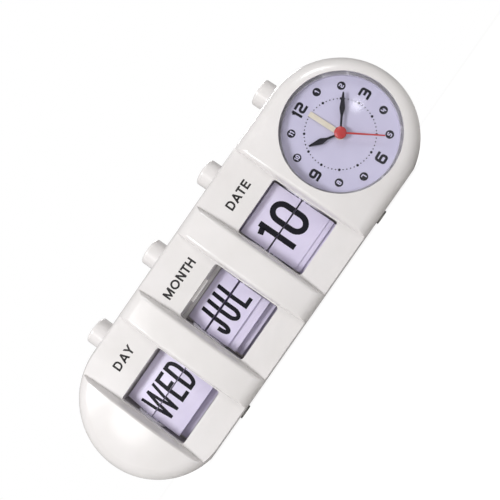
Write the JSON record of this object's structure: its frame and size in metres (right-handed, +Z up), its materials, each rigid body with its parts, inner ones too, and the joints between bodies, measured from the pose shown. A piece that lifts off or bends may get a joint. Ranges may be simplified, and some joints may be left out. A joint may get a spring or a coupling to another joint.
{
  "type": "calendar alarm clock",
  "caption": "Pill-shaped desk clock with flip-card windows for day, month and date, a round alarm clock at one end and push buttons on top that advance the cards.",
  "frame": {"origin": "on the table under the middle of the clock", "axes": "+X to the right along the case seen from the front, +Y away from the viewer, +Z up"},
  "size_m": [0.226, 0.05, 0.0848],
  "materials": {
    "white_abs": "glossy moulded ABS",
    "rubber": "pale matt rubber",
    "steel": "bright zinc-plated steel",
    "spring_steel": "drawn spring wire",
    "grey_plastic": "plain moulded plastic",
    "dark_plastic": "plain moulded plastic",
    "pale_plastic": "plain moulded plastic",
    "card": "printed plastic card",
    "dial_card": "printed dial",
    "clear_lens": "clear moulded lens",
    "black_hand": "satin black enamel",
    "red_hand": "satin red enamel",
    "cream_hand": "satin cream enamel",
    "gear_plastic": "natural acetal",
    "circuit": "solder-masked board",
    "copper_wire": "enamelled copper winding",
    "brass": "brass disc",
    "cell_jacket": "printed steel jacket"
  },
  "bodies": {
    "case": {"front_housing": "white_abs", "rear_cover": "white_abs", "feet": "rubber", "case_screws": "steel", "button_rail": "grey_plastic", "rail_screws": "steel", "day_spring": "spring_steel", "month_spring": "spring_steel", "date_spring": "spring_steel", "alarm_spring": "spring_steel", "day_frame": "white_abs", "month_frame": "white_abs", "date_frame": "white_abs", "day_axle": "steel", "month_axle": "steel", "date_axle": "steel", "lens": "clear_lens", "dial_ring": "white_abs", "dial": "dial_card", "movement_base": "grey_plastic", "movement_lid": "grey_plastic", "movement_screws": "steel", "circuit_board": "circuit", "motor_coil": "copper_wire", "sounder": "brass", "alarm_switch": "dark_plastic", "battery_cell": "cell_jacket", "battery_contacts": "steel"},
    "battery_door": {"battery_door": "white_abs"},
    "day_press": {"day_button": "white_abs"},
    "day_roll": {"day_drum": "pale_plastic", "day_cards": "card"},
    "day_top_flap": {"day_flap": "card"},
    "month_press": {"month_button": "white_abs"},
    "month_roll": {"month_drum": "pale_plastic", "month_cards": "card"},
    "month_top_flap": {"month_flap": "card"},
    "date_press": {"date_button": "white_abs"},
    "date_roll": {"date_drum": "pale_plastic", "date_cards": "card"},
    "date_top_flap": {"date_flap": "card"},
    "alarm_press": {"alarm_button": "white_abs"},
    "time_set": {"minute_wheel": "gear_plastic", "time_knob": "grey_plastic"},
    "minute": {"minute_hand": "black_hand", "cannon_pinion": "gear_plastic"},
    "hour": {"hour_hand": "black_hand", "hour_wheel": "gear_plastic"},
    "second": {"second_hand": "red_hand", "second_wheel": "gear_plastic"},
    "alarm_set": {"alarm_pinion": "gear_plastic", "alarm_knob": "grey_plastic"},
    "alarm": {"alarm_hand": "cream_hand", "alarm_wheel": "gear_plastic"}
  },
  "joints": [
    {"name": "day_press_slide", "type": "slide", "parent": "case", "child": "day_press", "axis": [0, 0, -1], "range_m": [0, 0.00347], "stiffness_N_per_m": 250, "springref_m": -0.004, "deforming": ["day_spring"]},
    {"name": "day_roll_turn", "type": "hinge", "parent": "case", "child": "day_roll", "pos_m": [-0.069, -0.00914, 0.0353], "axis": [1, 0, 0], "range_deg": [0, 51.44]},
    {"name": "day_flap_fall", "type": "hinge", "parent": "day_roll", "child": "day_top_flap", "pos_m": [-0.069, -0.015, 0.03812], "axis": [1, 0, 0], "range_deg": [0, 143.62]},
    {"name": "month_press_slide", "type": "slide", "parent": "case", "child": "month_press", "axis": [0, 0, -1], "range_m": [0, 0.00362], "stiffness_N_per_m": 250, "springref_m": -0.004, "deforming": ["month_spring"]},
    {"name": "month_roll_turn", "type": "hinge", "parent": "case", "child": "month_roll", "pos_m": [-0.021, -0.00631, 0.0353], "axis": [1, 0, 0], "range_deg": [0, 30.01]},
    {"name": "month_flap_fall", "type": "hinge", "parent": "month_roll", "child": "month_top_flap", "pos_m": [-0.021, -0.01402, 0.03993], "axis": [1, 0, 0], "range_deg": [0, 180.05]},
    {"name": "date_press_slide", "type": "slide", "parent": "case", "child": "date_press", "axis": [0, 0, -1], "range_m": [0, 0.00263], "stiffness_N_per_m": 250, "springref_m": -0.004, "deforming": ["date_spring"]},
    {"name": "date_roll_turn", "type": "hinge", "parent": "case", "child": "date_roll", "pos_m": [0.027, -0.00207, 0.0353], "axis": [1, 0, 0], "range_deg": [0, 11.62]},
    {"name": "date_flap_fall", "type": "hinge", "parent": "date_roll", "child": "date_top_flap", "pos_m": [0.027, -0.015, 0.03662], "axis": [1, 0, 0], "range_deg": [0, 170.44]},
    {"name": "alarm_press_slide", "type": "slide", "parent": "case", "child": "alarm_press", "axis": [0, 0, -1], "range_m": [0, 0.002], "stiffness_N_per_m": 250, "springref_m": -0.004, "deforming": ["alarm_spring"]},
    {"name": "time_set_turn", "type": "hinge", "parent": "case", "child": "time_set", "pos_m": [0.06819, 0, 0.043], "axis": [0, 1, 0], "continuous": true},
    {"name": "minute_turn", "type": "hinge", "parent": "case", "child": "minute", "pos_m": [0.0765, 0, 0.0382], "axis": [0, 1, 0], "continuous": true},
    {"name": "hour_turn", "type": "hinge", "parent": "case", "child": "hour", "pos_m": [0.0765, 0, 0.0382], "axis": [0, 1, 0], "continuous": true},
    {"name": "second_turn", "type": "hinge", "parent": "case", "child": "second", "pos_m": [0.0765, 0, 0.0382], "axis": [0, 1, 0], "continuous": true},
    {"name": "alarm_set_turn", "type": "hinge", "parent": "case", "child": "alarm_set", "pos_m": [0.0862, 0, 0.0438], "axis": [0, 1, 0], "continuous": true},
    {"name": "alarm_turn", "type": "hinge", "parent": "case", "child": "alarm", "pos_m": [0.0765, 0, 0.0382], "axis": [0, 1, 0], "continuous": true},
    {"name": "battery_door_open", "type": "hinge", "parent": "case", "child": "battery_door", "pos_m": [0.0755, 0.0202, 0.01895], "axis": [-1, 0, 0], "range_deg": [0, 40]}
  ],
  "couplings": [
    {"joint": "day_roll_turn", "follows": "day_press_slide", "rad_per_m": 258.6},
    {"joint": "day_flap_fall", "follows": "day_press_slide", "rad_per_m": 721.92},
    {"joint": "month_roll_turn", "follows": "month_press_slide", "rad_per_m": 144.52},
    {"joint": "month_flap_fall", "follows": "month_press_slide", "rad_per_m": 867.12},
    {"joint": "date_roll_turn", "follows": "date_press_slide", "rad_per_m": 77.066},
    {"joint": "date_flap_fall", "follows": "date_press_slide", "rad_per_m": 1130.7},
    {"joint": "minute_turn", "follows": "time_set_turn", "ratio": -3},
    {"joint": "hour_turn", "follows": "time_set_turn", "ratio": -0.25},
    {"joint": "alarm_turn", "follows": "alarm_set_turn", "ratio": -0.4}
  ]
}
